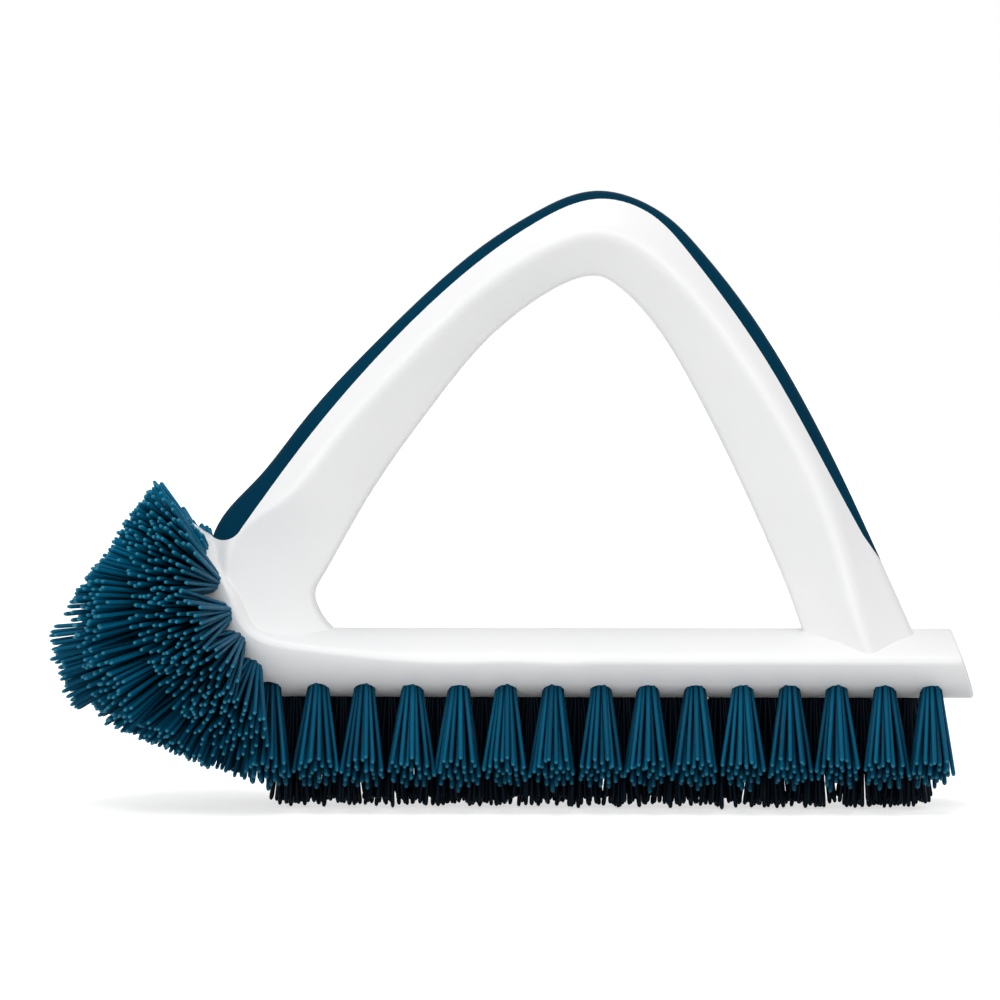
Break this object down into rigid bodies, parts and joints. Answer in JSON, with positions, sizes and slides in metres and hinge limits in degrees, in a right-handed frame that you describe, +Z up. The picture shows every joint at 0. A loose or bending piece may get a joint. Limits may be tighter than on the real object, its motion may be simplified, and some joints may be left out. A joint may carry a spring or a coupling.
{
  "type": "grout brush",
  "caption": "Hand scrub brush with an arched closed handle, a soft inlaid grip, rows of coarse bristle tufts under a bar block and a fan of tufts round its upturned toe.",
  "frame": {"origin": "under the middle of the brush, on the plane of the middle row's bristle tips", "axes": "+X along the brush from the toe to the heel, +Y across it to the far side, +Z up through the handle"},
  "size_m": [0.2162, 0.073, 0.1444],
  "materials": {
    "white_plastic": "satin",
    "soft_grip": "matte",
    "bristles": "satin",
    "anchor_steel": "plain"
  },
  "bodies": {
    "root": {"brush_block": "white_plastic", "handle_frame": "white_plastic", "grip_strip": "soft_grip", "tuft_anchors": "anchor_steel", "near_tuft_01": "bristles", "near_tuft_02": "bristles", "near_tuft_03": "bristles", "near_tuft_04": "bristles", "near_tuft_05": "bristles", "near_tuft_06": "bristles", "near_tuft_07": "bristles", "near_tuft_08": "bristles", "near_tuft_09": "bristles", "near_tuft_10": "bristles", "near_tuft_11": "bristles", "near_tuft_12": "bristles", "near_tuft_13": "bristles", "near_tuft_14": "bristles", "near_tuft_15": "bristles", "far_tuft_01": "bristles", "far_tuft_02": "bristles", "far_tuft_03": "bristles", "far_tuft_04": "bristles", "far_tuft_05": "bristles", "far_tuft_06": "bristles", "far_tuft_07": "bristles", "far_tuft_08": "bristles", "far_tuft_09": "bristles", "far_tuft_10": "bristles", "far_tuft_11": "bristles", "far_tuft_12": "bristles", "far_tuft_13": "bristles", "far_tuft_14": "bristles", "far_tuft_15": "bristles", "centre_tuft_01": "bristles", "centre_tuft_02": "bristles", "centre_tuft_03": "bristles", "centre_tuft_04": "bristles", "centre_tuft_05": "bristles", "centre_tuft_06": "bristles", "centre_tuft_07": "bristles", "centre_tuft_08": "bristles", "centre_tuft_09": "bristles", "centre_tuft_10": "bristles", "centre_tuft_11": "bristles", "centre_tuft_12": "bristles", "centre_tuft_13": "bristles", "centre_tuft_14": "bristles", "toe_tufts_near_outer": "bristles", "toe_tufts_near_inner": "bristles", "toe_tufts_centre": "bristles", "toe_tufts_far_inner": "bristles", "toe_tufts_far_outer": "bristles"}
  },
  "joints": []
}
